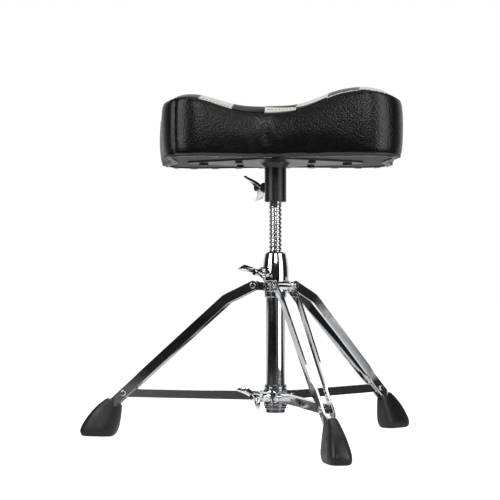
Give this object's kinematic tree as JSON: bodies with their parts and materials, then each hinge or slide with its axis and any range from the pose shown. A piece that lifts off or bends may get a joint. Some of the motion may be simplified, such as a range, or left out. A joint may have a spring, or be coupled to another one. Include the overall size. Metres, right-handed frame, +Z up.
{
  "type": "drum throne",
  "caption": "Drum throne: padded saddle seat on a screwed spindle over a folding double-bar tripod.",
  "frame": {"origin": "bottom centre of the throne's bounding box, on the floor", "axes": "+Z up; +X along the seat's long side; +Y from the side with one leg in front towards the other two"},
  "size_m": [0.524, 0.5314, 0.513],
  "materials": {
    "chrome_plate": "polished chrome plating",
    "strut_plate": "polished chrome plating",
    "rivet_steel": "plated rivets and screws",
    "spindle_steel": "zinc plated, machined thread",
    "foot_rubber": "matt moulded rubber",
    "bush_nylon": "moulded nylon",
    "nut_brass": "turned brass",
    "black_paint": "satin black powder coat",
    "black_bolt": "blackened steel",
    "bright_zinc": "bright zinc plate",
    "side_vinyl": "grained black vinyl",
    "top_vinyl": "smooth vinyl, black with white squares",
    "cushion_foam": "open cell foam",
    "birch_board": "birch plywood"
  },
  "bodies": {
    "column": {"base_tube": "chrome_plate", "guide_bush": "bush_nylon", "end_ring": "chrome_plate", "end_cap": "chrome_plate", "upper_collar": "chrome_plate", "collar_screws": "rivet_steel", "leg_pivot_rivets": "rivet_steel"},
    "lower_collar": {"lower_collar": "chrome_plate", "collar_liner": "bush_nylon", "strut_pivot_rivets": "rivet_steel", "collar_clamp_pad": "bush_nylon"},
    "height_nut": {"height_nut": "chrome_plate", "nut_insert": "nut_brass", "nut_clamp_pad": "bush_nylon"},
    "spindle": {"spindle": "spindle_steel", "spindle_stop": "spindle_steel"},
    "seat": {"seat_side_cover": "side_vinyl", "seat_top_cover": "top_vinyl", "seat_foam": "cushion_foam", "seat_board": "birch_board", "seat_t_nuts": "bright_zinc", "seat_plate": "black_paint", "seat_plate_bolts": "black_bolt", "seat_socket_tube": "black_paint", "cover_staples": "bright_zinc", "seat_clamp_pad": "bush_nylon"},
    "seat_wing": {"seat_wing_bolt": "chrome_plate"},
    "nut_wing": {"nut_wing_bolt": "chrome_plate"},
    "collar_wing": {"collar_wing_bolt": "chrome_plate"},
    "front_leg": {"front_leg_bar_a": "chrome_plate", "front_leg_bar_b": "chrome_plate", "front_leg_foot": "foot_rubber", "front_leg_rivets": "rivet_steel"},
    "front_strut": {"front_strut": "strut_plate", "front_strut_bushes": "bush_nylon"},
    "right_leg": {"right_leg_bar_a": "chrome_plate", "right_leg_bar_b": "chrome_plate", "right_leg_foot": "foot_rubber", "right_leg_rivets": "rivet_steel"},
    "right_strut": {"right_strut": "strut_plate", "right_strut_bushes": "bush_nylon"},
    "left_leg": {"left_leg_bar_a": "chrome_plate", "left_leg_bar_b": "chrome_plate", "left_leg_foot": "foot_rubber", "left_leg_rivets": "rivet_steel"},
    "left_strut": {"left_strut": "strut_plate", "left_strut_bushes": "bush_nylon"}
  },
  "joints": [
    {"name": "collar_slide", "type": "slide", "parent": "column", "child": "lower_collar", "axis": [0, 0, 1], "range_m": [0, 0.112]},
    {"name": "spindle_lift", "type": "slide", "parent": "column", "child": "spindle", "axis": [0, 0, 1], "range_m": [-0.066, 0.08]},
    {"name": "nut_turn", "type": "hinge", "parent": "column", "child": "height_nut", "pos_m": [0.03939, 0.03238, 0.23535], "axis": [0, 0, 1], "range_deg": [-4000, 4800]},
    {"name": "seat_swivel", "type": "hinge", "parent": "spindle", "child": "seat", "pos_m": [0.03939, 0.03238, 0.395], "axis": [0, 0, 1], "continuous": true},
    {"name": "seat_wing_turn", "type": "hinge", "parent": "seat", "child": "seat_wing", "pos_m": [0.02407, 0.04524, 0.374], "axis": [-0.766, 0.6428, 0], "range_deg": [0, 720]},
    {"name": "nut_wing_turn", "type": "hinge", "parent": "height_nut", "child": "nut_wing", "pos_m": [0.02563, 0.01787, 0.24835], "axis": [-0.6884, -0.7254, 0], "range_deg": [0, 720]},
    {"name": "collar_wing_turn", "type": "hinge", "parent": "lower_collar", "child": "collar_wing", "pos_m": [0.02563, 0.01787, 0.06645], "axis": [-0.6884, -0.7254, 0], "range_deg": [0, 720]},
    {"name": "front_leg_fold", "type": "hinge", "parent": "column", "child": "front_leg", "pos_m": [0.0484, 0.00199, 0.2287], "axis": [0.9588, 0.284, 0], "range_deg": [0, 46]},
    {"name": "front_strut_fold", "type": "hinge", "parent": "lower_collar", "child": "front_strut", "pos_m": [0.04763, 0.00457, 0.06645], "axis": [0.9588, 0.284, 0], "range_deg": [0, 80]},
    {"name": "right_leg_fold", "type": "hinge", "parent": "column", "child": "right_leg", "pos_m": [0.06121, 0.05538, 0.2287], "axis": [-0.7254, 0.6884, 0], "range_deg": [0, 46]},
    {"name": "right_strut_fold", "type": "hinge", "parent": "lower_collar", "child": "right_strut", "pos_m": [0.05936, 0.05342, 0.06645], "axis": [-0.7254, 0.6884, 0], "range_deg": [0, 80]},
    {"name": "left_leg_fold", "type": "hinge", "parent": "column", "child": "left_leg", "pos_m": [0.00857, 0.03978, 0.2287], "axis": [-0.2334, -0.9724, 0], "range_deg": [0, 46]},
    {"name": "left_strut_fold", "type": "hinge", "parent": "lower_collar", "child": "left_strut", "pos_m": [0.0112, 0.03915, 0.06645], "axis": [-0.2334, -0.9724, 0], "range_deg": [0, 80]}
  ],
  "couplings": [
    {"joint": "nut_turn", "follows": "spindle_lift", "rad_per_m": 989.48},
    {"joint": "front_leg_fold", "follows": "collar_slide", "rad_per_m": 7.168},
    {"joint": "front_strut_fold", "follows": "collar_slide", "rad_per_m": 12.466},
    {"joint": "right_leg_fold", "follows": "collar_slide", "rad_per_m": 7.168},
    {"joint": "right_strut_fold", "follows": "collar_slide", "rad_per_m": 12.466},
    {"joint": "left_leg_fold", "follows": "collar_slide", "rad_per_m": 7.168},
    {"joint": "left_strut_fold", "follows": "collar_slide", "rad_per_m": 12.466}
  ]
}
